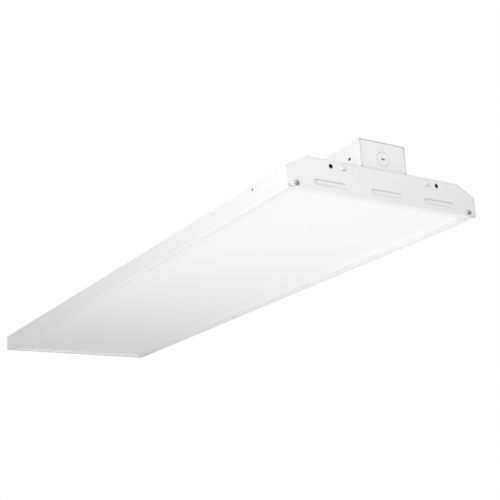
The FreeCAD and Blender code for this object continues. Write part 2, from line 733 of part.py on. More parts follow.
def pan_head():
    """Screw head with an upright rim and a narrowed crown."""
    diameter = number("Size.screw_head")
    height = number("Size.screw_head_height")
    rim = height * number("Size.head_rim")
    return [prism(diameter, 0, rim, HEAD_SIDES),
            prism(diameter, rim, height, HEAD_SIDES, diameter * number("Size.head_crown"))]


def flat_head(diameter, height, sides=HOLE_SIDES):
    return [prism(number(diameter), 0, number(height), sides)]


def make_screws(name, seats, outward, head, shank="Size.screw_shank", length="Size.screw_length"):
    """Screws whose heads sit on the seats and whose plain shanks go inwards."""
    solids = []
    for seat in seats:
        solid = prism(number(shank), -number(length), 0, HOLE_SIDES).fuse(head)
        solid = solid.removeSplitter().Solids[0]
        solid.Placement = Placement(seat, Rotation(AXIS_Z, outward))
        solids.append(solid)
    new_group(name, solids)


def seats_at(places, level):
    return [Vector(number(x), number(y), number(level)) for x, y in places]


def make_all_screws():
    for label, end in (("near", 1), ("far", -1)):
        corners = [Vector(end * number(HALF_LENGTH), side * number(CORNER_SCREW_SIDE),
                          number("Size.corner_screw_level")) for side in SIDES]
        make_screws("plate_screws_" + label, corners, AXIS_X * end, pan_head())
        make_screws("top_screws_" + label, seats_at(tab_screw_seats(end), "Size.height"), AXIS_Z,
                    pan_head())
    make_screws("cover_screws",
                seats_at(panel_screw_seats(), "Size.height + Size.box_height"), AXIS_Z, pan_head())
    plain = flat_head("Size.screw_head", "Size.screw_head_height")
    make_screws("box_screws", seats_at(panel_screw_seats(), "Size.height + Size.sheet"), AXIS_Z,
                plain)
    make_screws("driver_screws",
                seats_at(driver_screw_seats(), "Size.height + Size.foot_thickness"), AXIS_Z, plain)
    small = flat_head("Size.small_head", "Size.small_head_height")
    make_screws("board_screws",
                seats_at(board_screw_seats(), "%s - Size.board_thickness" % CEILING), -AXIS_Z,
                small, "Size.small_shank", "Size.board_thickness + Size.sheet")
    make_screws("terminal_screws",
                seats_at(block_screw_seats(), "Size.height + Size.block_seat"), AXIS_Z,
                small, "Size.small_shank", "Size.block_seat + Size.sheet")
    hexagon = flat_head("Size.ground_across / cos(180 deg / %d)" % HEXAGON,
                        "Size.ground_head_height", HEXAGON)
    make_screws("ground_screw", seats_at([GROUND_SEAT], "Size.height"), AXIS_Z, hexagon)


# ---- wiring ------------------------------------------------------------------------------

def make_grommet():
    """Bush with a flange each side of the housing's top and a groove between."""
    body = new_body("grommet")
    flange = "Size.grommet_hole + 2 * Size.grommet_flange"
    for diameter, bottom, height in (
            (flange, "-Size.sheet - Size.grommet_groove", "Size.grommet_groove"),
            ("Size.grommet_hole", "-Size.sheet", "Size.sheet"),
            (flange, "0", "Size.grommet_groove")):
        sketch = new_sketch(body, "XY_Plane", bottom)
        many_sided(sketch, "0", "0", diameter, BUSH_SIDES)
        pad(body, sketch, height)
    bore = new_sketch(body, "XY_Plane")
    many_sided(bore, "0", "0", "Size.grommet_bore", BUSH_SIDES)
    cut(body, bore, "4 * Size.grommet_flange", both_ways=True)
    place(body, x=GROMMET_X, z="Size.height")


def make_terminal_block():
    """Three-pole block with a wire entry each side of each pole."""
    body = new_body("terminal_block")
    base = new_sketch(body, "XY_Plane")
    rectangle(base, "-Size.block_length / 2", "Size.block_length / 2",
              "-Size.block_width / 2", "Size.block_width / 2")
    pad(body, base, "Size.block_height")
    for end in ENDS:
        entries = new_sketch(body, "YZ_Plane", "%d * Size.block_length / 2" % end)
        for pole in (-1, 0, 1):
            middle = "%d * Size.pole_pitch" % pole
            rectangle(entries, "%s - Size.entry_across / 2" % middle,
                      "%s + Size.entry_across / 2" % middle,
                      "Size.block_height / 2 - Size.entry_across / 2",
                      "Size.block_height / 2 + Size.entry_across / 2")
        cut(body, entries, "Size.entry_depth", backward=end < 0)
    for diameter, bottom in ((SMALL_HOLE, "0"), ("Size.block_recess", "Size.block_seat")):
        holes = new_sketch(body, "XY_Plane", bottom)
        for side in SIDES:
            many_sided(holes, "0", "%d * Size.block_screw_spacing / 2" % side, diameter)
        cut(body, holes, "Size.block_height", backward=True)
    place(body, x=BLOCK_X, y="Size.block_side", z="Size.height")


def eased_path(points):
    """The same path with each corner taken round a tangent arc in a few short steps."""
    path = points[:1]
    for before, corner, after in zip(points, points[1:], points[2:]):
        back = (before - corner).normalize()
        ahead = (after - corner).normalize()
        half_turn = (math.pi - back.getAngle(ahead)) / 2
        shorter = min((before - corner).Length, (after - corner).Length)
        reach = number("Size.lead_bend") * shorter
        radius = reach / math.tan(half_turn)
        centre = corner + (back + ahead).normalize() * (radius / math.cos(half_turn))
        axis = back.cross(ahead).normalize()
        spoke = corner + back * reach - centre
        for step in range(LEAD_STEPS + 1):
            turn = math.degrees(2 * half_turn) * step / LEAD_STEPS
            path.append(centre + Rotation(axis, -turn).multVec(spoke))
    return path + points[-1:]


def lead(points, diameter):
    """Six-sided wire along a path, its straight lengths mitred where they meet."""
    path = eased_path(points)
    runs = [(end - start).normalize() for start, end in zip(path, path[1:])]
    upright = Placement(path[0], Rotation(AXIS_Z, runs[0]))
    rim = [upright.multVec(corner) for corner in ring(diameter, 0, LEAD_SIDES)]
    section = Part.Face(closed(rim))
    faces = [section]
    for end, run, next_run in zip(path[1:], runs, runs[1:] + runs[-1:]):
        mitre = run + next_run
        far_rim = [corner + run * ((end - corner).dot(mitre) / run.dot(mitre)) for corner in rim]
        for index in range(LEAD_SIDES):
            following = (index + 1) % LEAD_SIDES
            faces.append(Part.Face(closed(
                [rim[index], rim[following], far_rim[following], far_rim[index]])))
        rim = far_rim
    faces.append(Part.Face(closed(rim)))
    wire = Part.makeSolid(Part.makeShell(faces))
    if wire.Volume < 0:
        wire.reverse()
    drawn = sum((end - start).Length for start, end in zip(path, path[1:]))
    if abs(wire.Volume - section.Area * drawn) > VOLUME_SHARE * wire.Volume:
        raise RuntimeError("a lead's volume does not match its length")
    return wire


def make_input_leads():
    """Two leads from the driver's supply side to the bottoms of two poles' entries."""
    diameter = number("Size.lead_diameter")
    pitch = number("Size.pole_pitch")
    side = number("Size.block_side")
    block_x = number("%s - Size.block_length / 2 + Size.entry_depth" % BLOCK_X)
    leads = []
    for pole in (-1, 0):
        start = Vector(number(DRIVER_NEAR), side + pitch * (pole - 1),
                       number("Size.height + Size.lead_exit"))
        finish = Vector(block_x, side + pitch * pole,
                        number("Size.height + Size.block_height / 2"))
        run = Vector(number("Size.block_gap"), 0, 0)
        entry = Vector(number("Size.lead_straight"), 0, 0)
        leads.append(lead([start, start + run, finish - entry, finish], diameter))
    new_group("input_leads", leads)


def make_output_leads():
    """Driver's light side: a pair of leads down through the grommet to a board."""
    diameter = number("Size.lead_diameter")
    target = connector_place(1, 1)
    end_x = target.x + number("Size.connector_length") / 2
    bush_x = number(GROMMET_X)
    above = number("Size.height + Size.lead_exit")
    below = number("%s - Size.lead_drop" % CEILING)
    turn = Vector(-number("Size.lead_turn"), number("Size.lead_aside"), 0)
    landing = Vector(number("Size.lead_landing"), 0, 0)
    leads = []
    for side in SIDES:
        offset = side * number("Size.lead_pitch") / 2
        under_bush = Vector(bush_x, offset, below)
        finish = Vector(end_x, target.y + offset, target.z)
        leads.append(lead([
            Vector(number(DRIVER_FAR), offset, above), Vector(bush_x, offset, above),
            under_bush, under_bush + turn, finish + landing, finish], diameter))
    new_group("output_leads", leads)


def straight_lead(start, direction, length):
    wire = prism(number("Size.lead_diameter"), 0, length, LEAD_SIDES)
    wire.Placement = Placement(start, Rotation(AXIS_Z, direction))
    return wire


def make_link_leads():
    """Pairs of leads that pass the current on from board to board."""
    pitch = number("Size.lead_pitch")
    half_length = number("Size.connector_length") / 2
    half_width = number("Size.connector_width") / 2
    leads = []
    for offset in (-pitch / 2, pitch / 2):
        for side in SIDES:
            near, far = connector_place(1, side), connector_place(-1, side)
            start = Vector(far.x + half_length, far.y + offset, far.z)
            leads.append(straight_lead(start, AXIS_X, near.x - far.x - 2 * half_length))
        left, right = connector_place(-1, -1), connector_place(-1, 1)
        start = Vector(left.x + offset, left.y + half_width, left.z)
        leads.append(straight_lead(start, AXIS_Y, right.y - left.y - 2 * half_width))
    new_group("link_leads", leads)


# ---- the whole light ---------------------------------------------------------------------

make_housing()
make_end_plate("end_plate_near", 1)
make_end_plate("end_plate_far", -1)
make_lens()
make_box_cover()
make_box_end("box_end_near", 1)
make_box_end("box_end_far", -1)
make_driver()
for board in BOARDS:
    make_board(*board)
    make_chips(*board)
make_connectors()
make_all_screws()
make_grommet()
make_terminal_block()
make_input_leads()
make_output_leads()
make_link_leads()
doc.recompute()


def check_model():
    """Stop on any failed object, empty shape or cut that takes nothing away."""
    for item in doc.Objects:
        if "Invalid" in item.State or "Error" in item.State:
            raise RuntimeError("%s did not recompute: %s" % (item.Label, item.State))
        base = getattr(item, "BaseFeature", None)
        if base is not None and item.isDerivedFrom("PartDesign::Feature"):
            change = item.Shape.Volume - base.Shape.Volume
            if item.isDerivedFrom("PartDesign::Pocket") and change > -LEAST_CHANGE:
                raise RuntimeError("%s cuts nothing" % item.Name)
            if item.isDerivedFrom("PartDesign::Pad") and change < LEAST_CHANGE:
                raise RuntimeError("%s adds nothing" % item.Name)
    for node in nodes:
        if node.Shape.isNull() or not node.Shape.isValid():
            raise RuntimeError("%s has no valid shape" % node.Label)


check_model()
os.makedirs("parts", exist_ok=True)
for node in nodes:
    node.Shape.exportStep("parts/%s.step" % node.Label)
    box = node.Shape.BoundBox
    print("%-18s solids %3d  volume %11.1f  x %.1f..%.1f  y %.1f..%.1f  z %.1f..%.1f" % (
        node.Label, len(node.Shape.Solids), node.Shape.Volume,
        box.XMin, box.XMax, box.YMin, box.YMax, box.ZMin, box.ZMax))
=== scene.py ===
"""The linear high bay light dressed in Blender: enamelled sheet, frosted lens and plated screws.

Everything stands in the part's own frame, in metres: +Z up, +X towards the near end, which
carries the driver box.
"""

import bpy
import math
from mathutils import Matrix, Vector


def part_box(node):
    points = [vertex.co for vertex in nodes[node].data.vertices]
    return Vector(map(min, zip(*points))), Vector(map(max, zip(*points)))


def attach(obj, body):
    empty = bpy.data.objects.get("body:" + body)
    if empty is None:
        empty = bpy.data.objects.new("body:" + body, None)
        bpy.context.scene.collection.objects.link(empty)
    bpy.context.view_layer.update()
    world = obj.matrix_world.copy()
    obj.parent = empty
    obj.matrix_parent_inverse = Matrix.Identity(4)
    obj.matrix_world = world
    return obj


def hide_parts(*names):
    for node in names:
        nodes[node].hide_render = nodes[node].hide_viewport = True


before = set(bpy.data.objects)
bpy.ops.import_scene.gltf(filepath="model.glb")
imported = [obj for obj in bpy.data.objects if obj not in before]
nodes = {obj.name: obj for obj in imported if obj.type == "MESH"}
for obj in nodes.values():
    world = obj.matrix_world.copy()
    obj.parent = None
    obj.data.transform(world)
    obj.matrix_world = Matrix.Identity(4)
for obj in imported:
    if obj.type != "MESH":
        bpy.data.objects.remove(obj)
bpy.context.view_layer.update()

MM = 0.001
UP = Vector((0, 0, 1))

# ---- camera -------------------------------------------------------------------------------

CAMERA_PLACE = Vector((1.6105, -0.8778, -0.4577))
CAMERA_HEADING = math.radians(32.08)
CAMERA_RISE = math.radians(16.60)
CAMERA_ROLL = math.radians(-2.86)
CAMERA_LENS = 71.72
SENSOR_WIDTH = 36.0


def set_camera():
    """Below and beyond the near end, looking up along the light."""
    ahead = Vector((-math.cos(CAMERA_RISE) * math.cos(CAMERA_HEADING),
                    math.cos(CAMERA_RISE) * math.sin(CAMERA_HEADING),
                    math.sin(CAMERA_RISE)))
    level = ahead.cross(UP).normalized()
    upright = level.cross(ahead)
    right = level * math.cos(CAMERA_ROLL) + upright * math.sin(CAMERA_ROLL)
    above = right.cross(ahead)
    bpy.ops.object.camera_add(location=CAMERA_PLACE)
    camera = bpy.context.object
    turned = Matrix((right, above, -ahead)).transposed().to_4x4()
    camera.matrix_world = Matrix.Translation(CAMERA_PLACE) @ turned
    camera.data.sensor_width = SENSOR_WIDTH
    camera.data.lens = CAMERA_LENS
    bpy.context.scene.camera = camera


# ---- node building ------------------------------------------------------------------------

# A mix node has sockets for each kind of value; these are the share and the two colours.
COLOUR_MIX_INPUTS = (0, 6, 7)
COLOUR_MIX_OUTPUT = 2


class Tree:
    """A short way to add nodes to a material or a group and to join them."""

    def __init__(self, tree):
        self.tree = tree

    def add(self, kind, settings=None, **values):
        node = self.tree.nodes.new("ShaderNode" + kind)
        for name, value in (settings or {}).items():
            setattr(node, name, value)
        for name, value in values.items():
            self.feed(node, name.replace("_", " "), value)
        return node

    def feed(self, node, socket, value):
        """Join an output to the input, or set the input's own number or colour."""
        target = node.inputs[socket]
        if isinstance(value, bpy.types.NodeSocket):
            self.tree.links.new(value, target)
        elif target.type == "RGBA":
            target.default_value = (*value, 1)
        else:
            target.default_value = value

    def math(self, operation, first, second):
        node = self.add("Math", {"operation": operation})
        for slot, value in enumerate((first, second)):
            self.feed(node, slot, value)
        return node.outputs["Value"]

    def mix(self, share, first, second):
        """Blend two colours, each an output or three numbers."""
        node = self.add("Mix", {"data_type": "RGBA"})
        for slot, value in zip(COLOUR_MIX_INPUTS, (share, first, second)):
            self.feed(node, slot, value)
        return node.outputs[COLOUR_MIX_OUTPUT]

    def band(self, value, low, high, start=0.0, end=1.0):
        """The value's way from low to high, as start to end, held at both."""
        node = self.add("MapRange", Value=value, From_Min=low, From_Max=high,
                        To_Min=start, To_Max=end)
        return node.outputs["Result"]


def new_effect(name, inputs, outputs):
    """An empty node group with named sockets, and its input and output nodes."""
    group = bpy.data.node_groups.new(name, "ShaderNodeTree")
    for socket, kind, value in inputs:
        made = group.interface.new_socket(name=socket, in_out="INPUT",
                                          socket_type="NodeSocket" + kind)
        made.default_value = value
    for socket, kind in outputs:
        group.interface.new_socket(name=socket, in_out="OUTPUT", socket_type="NodeSocket" + kind)
    return Tree(group), group.nodes.new("NodeGroupInput"), group.nodes.new("NodeGroupOutput")


def use_effect(tree, name, **values):
    """Place a shared effect in a material with its own values."""
    return tree.add("Group", {"node_tree": bpy.data.node_groups[name]}, **values)


# ---- studio -------------------------------------------------------------------------------

FLOOR_LEVEL = -1.6
FLOOR_SIZE = 60
FLOOR_GLOW = 0.24
SKY_SEEN = 1.0
SKY_LIGHT = 0.28
SKY_FADE = (0.6, 0.9)
OVERHEAD_SHARE = 0.65
# name, place, aim, size, power in watts
LAMPS = (
    ("left_of_near_end", (1.45, -1.5, 0.2), (0.4, 0.0, 0.03), 1.0, 18.3),
    ("left", (0.9, -2.4, 0.4), (0.3, 0.0, 0.02), 1.2, 4.5),
    ("low_left", (0.9, -1.9, -0.5), (0.3, -0.1, 0.0), 1.0, 7.3),
    ("right_of_near_end", (2.1, 0.9, 1.3), (0.5, 0.0, 0.03), 1.2, 15.5),
    ("below", (0.5, 0.0, -1.1), (0.35, 0.0, 0.0), 1.0, 8.3),
    ("above", (0.0, 0.0, 2.4), (0.0, 0.0, 0.0), 1.6, 15),
    ("right", (0.2, 2.4, 0.4), (0.0, 0.0, 0.05), 1.2, 10),
    ("far_end", (-2.4, 0.8, 0.6), (-0.5, 0.0, 0.03), 1.2, 12),
)


def set_sky():
    """A white sky, seen and mirrored at full strength, that lights the object more softly.

    Overhead it looks a little greyer, so that the white light stands out from it.
    """
    world = bpy.data.worlds.new("studio")
    bpy.context.scene.world = world
    bpy.context.scene.view_settings.view_transform = "Standard"
    world.use_nodes = True
    tree = Tree(world.node_tree)
    ray = tree.add("LightPath")
    direction = tree.add("TexCoord").outputs["Generated"]
    height = tree.add("SeparateXYZ", Vector=direction).outputs["Z"]
    overhead = tree.band(height, *SKY_FADE, 1.0, OVERHEAD_SHARE)
    seen = tree.math("MULTIPLY", ray.outputs["Is Camera Ray"], overhead)
    clear = tree.math("MAXIMUM", seen, ray.outputs["Is Glossy Ray"])
    background = world.node_tree.nodes["Background"]
    tree.feed(background, "Color", (1, 1, 1))
    tree.feed(background, "Strength", tree.band(clear, 0.0, 1.0, SKY_LIGHT, SKY_SEEN))


def add_lamp(name, place, aim, size, power):
    bpy.ops.object.light_add(type="AREA", location=place)
    lamp = bpy.context.object
    lamp.name = name
    lamp.data.size = size
    lamp.data.energy = power
    lamp.visible_camera = False
    lamp.rotation_mode = "QUATERNION"
    lamp.rotation_quaternion = (Vector(aim) - Vector(place)).to_track_quat("-Z", "Y")


def add_floor(material):
    bpy.ops.mesh.primitive_plane_add(size=FLOOR_SIZE, location=(0, 0, FLOOR_LEVEL))
    floor = bpy.context.object
    floor.name = "studio_floor"
    floor.data.materials.append(material)


# ---- shared effects -----------------------------------------------------------------------

UNSET_COLOUR = (0.8, 0.8, 0.8, 1)
ROUGHNESS_SWING = 3.0
DUST_COLOUR = (0.62, 0.6, 0.57)
DUST_FACING = (0.5, 1.0)
DUST_PATCHES = (0.35, 0.7)


def make_sheet_tone():
    """Broad and fine changes of tone, as paint and plating have, with a matching roughness."""
    tree, given, made = new_effect(
        "sheet_tone",
        [("Colour", "Color", UNSET_COLOUR), ("Amount", "Float", 0.03),
         ("Broad Scale", "Float", 6.0), ("Fine Scale", "Float", 180.0),
         ("Roughness", "Float", 0.5)],
        [("Colour", "Color"), ("Roughness", "Float")])
    place = tree.add("TexCoord").outputs["Object"]
    broad = tree.add("TexNoise", Vector=place, Scale=given.outputs["Broad Scale"], Detail=3.0)
    fine = tree.add("TexNoise", Vector=place, Scale=given.outputs["Fine Scale"], Detail=2.0)
    both = tree.math("ADD", broad.outputs["Fac"], fine.outputs["Fac"])
    centred = tree.math("SUBTRACT", both, 1.0)
    swing = tree.math("MULTIPLY", centred, given.outputs["Amount"])
    level = tree.add("HueSaturation", Color=given.outputs["Colour"],
                     Value=tree.math("ADD", 1.0, swing))
    rougher = tree.math("MULTIPLY", swing, ROUGHNESS_SWING)
    tree.feed(made, "Colour", level.outputs["Color"])
    tree.feed(made, "Roughness", tree.math("ADD", given.outputs["Roughness"], rougher))


def make_pebble():
    """The low rounded grain of sprayed paint or of a frosted sheet."""
    tree, given, made = new_effect(
        "pebble", [("Grain", "Float", 900.0), ("Wave", "Float", 60.0), ("Share", "Float", 0.3)],
        [("Height", "Float")])
    place = tree.add("TexCoord").outputs["Object"]
    grain = tree.add("TexVoronoi", {"feature": "SMOOTH_F1"}, Vector=place,
                     Scale=given.outputs["Grain"])
    wave = tree.add("TexNoise", Vector=place, Scale=given.outputs["Wave"], Detail=2.0)
    slow = tree.math("MULTIPLY", wave.outputs["Fac"], given.outputs["Share"])
    tree.feed(made, "Height", tree.math("ADD", grain.outputs["Distance"], slow))


def make_brushing():
    """Fine lines along one direction, set by unequal scales."""
    tree, given, made = new_effect(
        "brushing", [("Scales", "Vector", (20.0, 900.0, 900.0)), ("Depth", "Float", 0.2)],
        [("Shade", "Float"), ("Height", "Float")])
    place = tree.add("TexCoord").outputs["Object"]
    stretched = tree.add("Mapping", Vector=place, Scale=given.outputs["Scales"])
    lines = tree.add("TexNoise", Vector=stretched.outputs["Vector"], Scale=1.0, Detail=4.0)
    tree.feed(made, "Shade", tree.math("MULTIPLY", lines.outputs["Fac"], given.outputs["Depth"]))
    tree.feed(made, "Height", lines.outputs["Fac"])


def make_settled_dust():
    """A thin pale film on faces that look up, thicker in soft patches."""
    tree, given, made = new_effect(
        "settled_dust", [("Colour", "Color", UNSET_COLOUR), ("Amount", "Float", 0.2)],
        [("Colour", "Color"), ("Cover", "Float")])
    normal = tree.add("NewGeometry").outputs["Normal"]
    up = tree.add("SeparateXYZ", Vector=normal).outputs["Z"]
    place = tree.add("TexCoord").outputs["Object"]
    patches = tree.add("TexNoise", Vector=place, Scale=14.0, Detail=5.0)
    facing = tree.band(up, *DUST_FACING)
    patchy = tree.band(patches.outputs["Fac"], *DUST_PATCHES)
    cover = tree.math("MULTIPLY", tree.math("MULTIPLY", facing, patchy), given.outputs["Amount"])
    tree.feed(made, "Colour", tree.mix(cover, given.outputs["Colour"], DUST_COLOUR))
    tree.feed(made, "Cover", cover)


# ---- materials ----------------------------------------------------------------------------

ENAMEL_WHITE = (0.85, 0.85, 0.85)
LENS_WHITE = (0.89, 0.89, 0.89)
ZINC_GREY = (0.36, 0.36, 0.37)
CASE_GREY = (0.6, 0.61, 0.62)
MASK_WHITE = (0.88, 0.89, 0.87)
COPPER_UNDER_MASK = (0.8, 0.78, 0.7)
PHOSPHOR_YELLOW = (0.9, 0.72, 0.2)
CHIP_WHITE = (0.85, 0.85, 0.83)
CONNECTOR_IVORY = (0.84, 0.83, 0.79)
BLOCK_IVORY = (0.78, 0.77, 0.73)
RUBBER_BLACK = (0.035, 0.035, 0.035)
LACQUER_GREEN = (0.05, 0.3, 0.1)
SLEEVING_BLACK = (0.06, 0.06, 0.07)
SLEEVING_PALE = (0.75, 0.75, 0.73)
PAPER_WHITE = (0.86, 0.86, 0.86)
LENS_IOR = 1.49
PRESSED_SOFTNESS = 2.5 * MM
SOFTENING_SAMPLES = 8
COPPER_STRIPS = 18.0
STRIP_EDGE = (0.35, 0.5)
STRIP_SHOWS = 0.25
CHIP_UNDERSIDE = (-0.4, -0.8)


def new_material(name):
    material = bpy.data.materials.new(name)
    material.use_nodes = True
    return material, Tree(material.node_tree), material.node_tree.nodes["Principled BSDF"]


def raise_grain(tree, shader, height, strength, distance, softened=0.0):
    """Grain on the surface, whose edges can also be softened by a radius."""
    bump = tree.add("Bump", Height=height, Strength=strength, Distance=distance)
    if softened:
        rounded = tree.add("Bevel", {"samples": SOFTENING_SAMPLES}, Radius=softened)
        tree.feed(bump, "Normal", rounded.outputs["Normal"])
    tree.feed(shader, "Normal", bump.outputs["Normal"])


def make_enamel(name, colour, roughness=0.42, softened=0.0):
    """Sprayed and baked paint, which can lie thick enough to soften pressed edges."""
    material, tree, shader = new_material(name)
    tone = use_effect(tree, "sheet_tone", Colour=colour, Amount=0.02, Broad_Scale=4.0,
                      Fine_Scale=240.0, Roughness=roughness)
    dust = use_effect(tree, "settled_dust", Colour=tone.outputs["Colour"], Amount=0.12)
    skin = use_effect(tree, "pebble", Grain=700.0, Wave=90.0, Share=0.5)
    tree.feed(shader, "Base Color", dust.outputs["Colour"])
    tree.feed(shader, "Roughness", tree.math("ADD", tone.outputs["Roughness"],
                                             dust.outputs["Cover"]))
    raise_grain(tree, shader, skin.outputs["Height"], strength=0.12, distance=0.2 * MM,
                softened=softened)
    return material


def make_frosting():
    """Frosted sheet with a fine stipple, dense enough to hide the boards behind it."""
    material, tree, shader = new_material("frosted_sheet")
    tone = use_effect(tree, "sheet_tone", Colour=LENS_WHITE, Amount=0.012, Broad_Scale=3.0,
                      Fine_Scale=400.0, Roughness=0.5)
    stipple = use_effect(tree, "pebble", Grain=1200.0, Wave=30.0, Share=0.2)
    tree.feed(shader, "Base Color", tone.outputs["Colour"])
    tree.feed(shader, "Roughness", tone.outputs["Roughness"])
    shader.inputs["IOR"].default_value = LENS_IOR
    raise_grain(tree, shader, stipple.outputs["Height"], strength=0.2, distance=0.1 * MM)
    return material


def make_plating(name, colour, roughness):
    """Zinc plating: bright metal with faint cloudy patches and turning marks."""
    material, tree, shader = new_material(name)
    tone = use_effect(tree, "sheet_tone", Colour=colour, Amount=0.2, Broad_Scale=260.0,
                      Fine_Scale=1500.0, Roughness=roughness)
    marks = use_effect(tree, "brushing", Scales=(900.0, 900.0, 900.0), Depth=0.2)
    shader.inputs["Metallic"].default_value = 1.0
    tree.feed(shader, "Base Color", tone.outputs["Colour"])
    tree.feed(shader, "Roughness", tree.math("ADD", tone.outputs["Roughness"],
                                             marks.outputs["Shade"]))
    raise_grain(tree, shader, marks.outputs["Height"], strength=0.15, distance=0.05 * MM)
    return material


def make_extrusion():
    """Anodised aluminium of the driver's case, drawn along its length."""
    material, tree, shader = new_material("driver_case")
    lines = use_effect(tree, "brushing", Scales=(14.0, 1400.0, 1400.0), Depth=0.3)
    tone = use_effect(tree, "sheet_tone", Colour=CASE_GREY, Amount=0.08, Broad_Scale=12.0,
                      Fine_Scale=500.0, Roughness=0.3)
    shader.inputs["Metallic"].default_value = 1.0
    tree.feed(shader, "Base Color", tone.outputs["Colour"])
    tree.feed(shader, "Roughness", tree.math("ADD", tone.outputs["Roughness"],
                                             lines.outputs["Shade"]))
    raise_grain(tree, shader, lines.outputs["Height"], strength=0.2, distance=0.05 * MM)
    return material


def make_board_mask():
    """White mask over copper strips that show as faint raised lines along the board."""
    material, tree, shader = new_material("board_mask")
    place = tree.add("TexCoord").outputs["Object"]
    strips = tree.add("TexWave", {"wave_type": "BANDS", "bands_direction": "Y"}, Vector=place,
                      Scale=COPPER_STRIPS, Distortion=0.0)
    raised = tree.band(strips.outputs["Fac"], *STRIP_EDGE)
    tone = use_effect(tree, "sheet_tone", Colour=MASK_WHITE, Amount=0.02, Broad_Scale=10.0,
                      Fine_Scale=300.0, Roughness=0.35)
    tint = tree.math("MULTIPLY", raised, STRIP_SHOWS)
    tree.feed(shader, "Base Color", tree.mix(tint, tone.outputs["Colour"], COPPER_UNDER_MASK))
    tree.feed(shader, "Roughness", tone.outputs["Roughness"])
    raise_grain(tree, shader, raised, strength=0.4, distance=0.05 * MM)
    return material


def make_chip_phosphor():
    """Yellow coating on each chip's lit face and white walls round it."""
    material, tree, shader = new_material("chip_phosphor")
    normal = tree.add("NewGeometry").outputs["Normal"]
    up = tree.add("SeparateXYZ", Vector=normal).outputs["Z"]
    lit = tree.band(up, *CHIP_UNDERSIDE)
    tone = use_effect(tree, "sheet_tone", Colour=PHOSPHOR_YELLOW, Amount=0.06,
                      Broad_Scale=300.0, Fine_Scale=2500.0, Roughness=0.4)
    grain = use_effect(tree, "pebble", Grain=2500.0, Wave=200.0, Share=0.3)
    tree.feed(shader, "Base Color", tree.mix(lit, CHIP_WHITE, tone.outputs["Colour"]))
    tree.feed(shader, "Roughness", tone.outputs["Roughness"])
    raise_grain(tree, shader, grain.outputs["Height"], strength=0.2, distance=0.05 * MM)
    return material


def make_moulded(name, colour, roughness, grain, bump):
    """Moulded plastic or rubber with an even fine grain."""
    material, tree, shader = new_material(name)
    tone = use_effect(tree, "sheet_tone", Colour=colour, Amount=0.08, Broad_Scale=60.0,
                      Fine_Scale=900.0, Roughness=roughness)
    skin = use_effect(tree, "pebble", Grain=grain, Wave=150.0, Share=0.4)
    tree.feed(shader, "Base Color", tone.outputs["Colour"])
    tree.feed(shader, "Roughness", tone.outputs["Roughness"])
    raise_grain(tree, shader, skin.outputs["Height"], strength=bump, distance=0.1 * MM)
    return material


def make_sleeving(name, colour):
    """Insulated wire with a faint sheen and handling marks."""
    material, tree, shader = new_material(name)
    tone = use_effect(tree, "sheet_tone", Colour=colour, Amount=0.1, Broad_Scale=90.0,
                      Fine_Scale=800.0, Roughness=0.35)
    skin = use_effect(tree, "pebble", Grain=1500.0, Wave=300.0, Share=0.5)
    tree.feed(shader, "Base Color", tone.outputs["Colour"])
    tree.feed(shader, "Roughness", tone.outputs["Roughness"])
    raise_grain(tree, shader, skin.outputs["Height"], strength=0.1, distance=0.05 * MM)
    return material


def make_studio_paper():
    """Pale paper, evenly bright to look at and clear from below, that lights nothing itself."""
    material, tree, shader = new_material("studio_paper")
    tone = use_effect(tree, "sheet_tone", Colour=PAPER_WHITE, Amount=0.02, Broad_Scale=0.6,
                      Fine_Scale=40.0, Roughness=0.9)
    tree.feed(shader, "Base Color", tone.outputs["Colour"])
    tree.feed(shader, "Roughness", tone.outputs["Roughness"])
    shader.inputs["Emission Color"].default_value = (1, 1, 1, 1)
    seen = tree.add("LightPath").outputs["Is Camera Ray"]
    tree.feed(shader, "Emission Strength", tree.math("MULTIPLY", seen, FLOOR_GLOW))
    from_above = tree.math("SUBTRACT", 1.0, tree.add("NewGeometry").outputs["Backfacing"])
    tree.feed(shader, "Alpha", from_above)
    return material


# ---- pan-head screws ----------------------------------------------------------------------

HEAD_ACROSS = 8 * MM
HEAD_HEIGHT = 2.4 * MM
HEAD_POINTS = 40
RIM_SHARE = 0.35
# each ring of the dome: its share of the rise above the rim, and of the head's width
DOME_STEPS = ((0.5, 0.86), (0.75, 0.7), (0.92, 0.45))
SHANK_ACROSS = 3.8 * MM
SHANK_LENGTH = 8 * MM
TIP_SHARE = 0.2
TIP_WIDTH = 0.35
RECESS_REACH = 4.4 * MM
RECESS_WIDTH = 1.1 * MM
RECESS_CUT = 1.3 * MM
RECESS_CUT_ABOVE = 0.2 * MM
# a face lies flat where its normal points up or down by more than this share
LIES_FLAT = 0.9
SAME_LEVEL = 0.01 * MM
SMOOTH_UP_TO = math.radians(35)
# degrees: how far a node's first screw is turned, and each next one beyond it
FIRST_TURN = 60
NEXT_TURN = 37
AHEAD = Vector((1, 0, 0))


def clear_selection():
    bpy.ops.object.select_all(action="DESELECT")


def select_only(shape):
    clear_selection()
    shape.select_set(True)
    bpy.context.view_layer.objects.active = shape


def pick_faces(shape, wanted):
    """Go into edit mode with only those faces selected that the test accepts."""
    bpy.ops.object.mode_set(mode="EDIT")
    bpy.ops.mesh.select_mode(type="FACE")
    bpy.ops.mesh.select_all(action="DESELECT")
    bpy.ops.object.mode_set(mode="OBJECT")
    for face in shape.data.polygons:
        face.select = wanted(face)
    bpy.ops.object.mode_set(mode="EDIT")


def add_disc(across, height):
    """A disc that stands on the origin."""
    clear_selection()
    bpy.ops.mesh.primitive_cylinder_add(vertices=HEAD_POINTS, radius=across / 2, depth=height,
                                        location=(0, 0, height / 2))
    bpy.ops.object.transform_apply(location=True, rotation=True, scale=True)
    return bpy.context.object


def add_block(size, middle):
    clear_selection()
    bpy.ops.mesh.primitive_cube_add(size=1, location=middle)
    block = bpy.context.object
    block.scale = size
    bpy.ops.object.transform_apply(location=True, rotation=True, scale=True)
    return block


